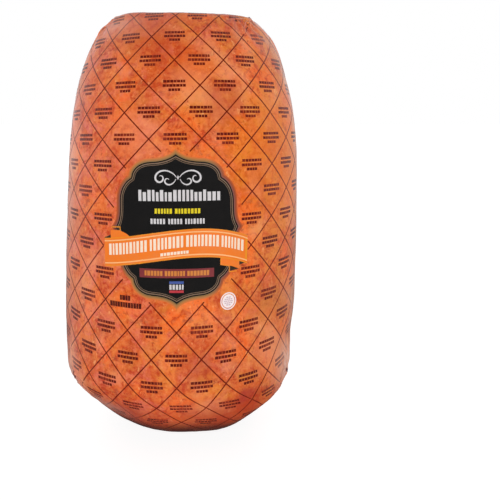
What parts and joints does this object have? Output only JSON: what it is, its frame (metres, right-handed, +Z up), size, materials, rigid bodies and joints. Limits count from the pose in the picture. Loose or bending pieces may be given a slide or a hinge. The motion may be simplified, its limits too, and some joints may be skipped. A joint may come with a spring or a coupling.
{
  "type": "whole ham in printed film",
  "caption": "Whole boneless cooked ham, pressed to a blunt barrel and shut in a tight clear printed film, standing on one end.",
  "frame": {"origin": "middle of the base, on the surface that the ham stands on", "axes": "+Z up along the ham's length, +X to the right of the printed front, -Y out of the printed front"},
  "size_m": [0.1828, 0.1842, 0.3125],
  "materials": {
    "ham_film": "orange-brown smoked ham skin, mottled and lightly streaked, seen through a clear glossy film that is printed with a dark diamond net, small dark bars and one bordered plaque"
  },
  "bodies": {
    "root": {"wrapped_ham": "ham_film"}
  },
  "joints": []
}
